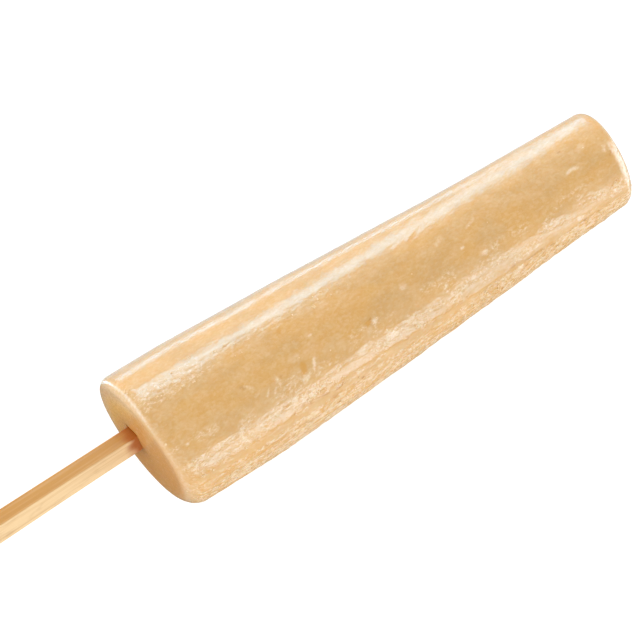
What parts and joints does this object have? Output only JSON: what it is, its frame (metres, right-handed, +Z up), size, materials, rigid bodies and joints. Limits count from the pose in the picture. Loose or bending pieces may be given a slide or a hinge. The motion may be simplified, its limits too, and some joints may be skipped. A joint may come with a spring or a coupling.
{
  "type": "kulfi on a stick",
  "caption": "Tapered round bar of creamy frozen milk dessert on a long square bamboo stick, lying on its side.",
  "frame": {"origin": "on the floor, below the middle of the whole thing's box", "axes": "+X along the bar from its stick to its narrow tip, +Z up as it lies on its side"},
  "size_m": [0.2122, 0.0328, 0.0334],
  "materials": {
    "frozen_milk": "satin, thinly frosted",
    "bamboo": "dry, fine straight grain"
  },
  "bodies": {
    "root": {"kulfi": "frozen_milk", "stick": "bamboo"}
  },
  "joints": []
}
